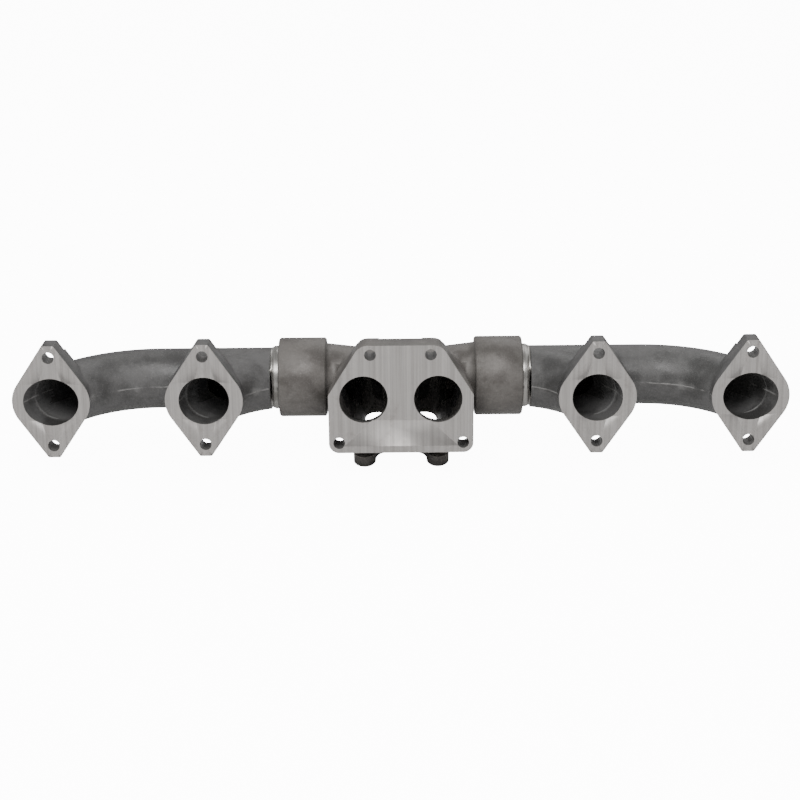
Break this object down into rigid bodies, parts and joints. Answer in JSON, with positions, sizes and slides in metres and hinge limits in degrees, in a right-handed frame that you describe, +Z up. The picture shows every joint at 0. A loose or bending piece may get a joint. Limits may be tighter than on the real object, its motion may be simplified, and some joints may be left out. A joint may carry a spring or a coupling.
{
  "type": "exhaust manifold",
  "caption": "Cast-iron exhaust manifold for an inline diesel engine: a centre casting with a divided turbocharger flange, and end castings plugged into its collars by ring-sealed slip joints.",
  "frame": {"origin": "on the cylinder-head face, midway between the two centre ports", "axes": "+X along the engine, to the right seen from the cylinder head; +Y away from the head, towards the log; +Z up"},
  "size_m": [0.7628, 0.1509, 0.1402],
  "materials": {
    "center_cast_iron": "as cast, warm brown-grey, faces milled",
    "end_cast_iron": "as cast, dark grey, faces milled and spigot turned",
    "ring_iron": "ground"
  },
  "bodies": {
    "center": {"center_manifold": "center_cast_iron"},
    "left_rings": {"left_outer_seal_ring": "ring_iron", "left_middle_seal_ring": "ring_iron", "left_inner_seal_ring": "ring_iron"},
    "left_end": {"left_end_manifold": "end_cast_iron"},
    "right_rings": {"right_outer_seal_ring": "ring_iron", "right_middle_seal_ring": "ring_iron", "right_inner_seal_ring": "ring_iron"},
    "right_end": {"right_end_manifold": "end_cast_iron"}
  },
  "joints": [
    {"name": "left_slip", "type": "slide", "parent": "center", "child": "left_rings", "axis": [-1, 0, 0], "range_m": [-0.006, 0.004]},
    {"name": "left_swivel", "type": "hinge", "parent": "left_rings", "child": "left_end", "pos_m": [-0.1, 0.077, 0], "axis": [1, 0, 0], "continuous": true},
    {"name": "right_slip", "type": "slide", "parent": "center", "child": "right_rings", "axis": [1, 0, 0], "range_m": [-0.006, 0.004]},
    {"name": "right_swivel", "type": "hinge", "parent": "right_rings", "child": "right_end", "pos_m": [0.1, 0.077, 0], "axis": [1, 0, 0], "continuous": true}
  ]
}
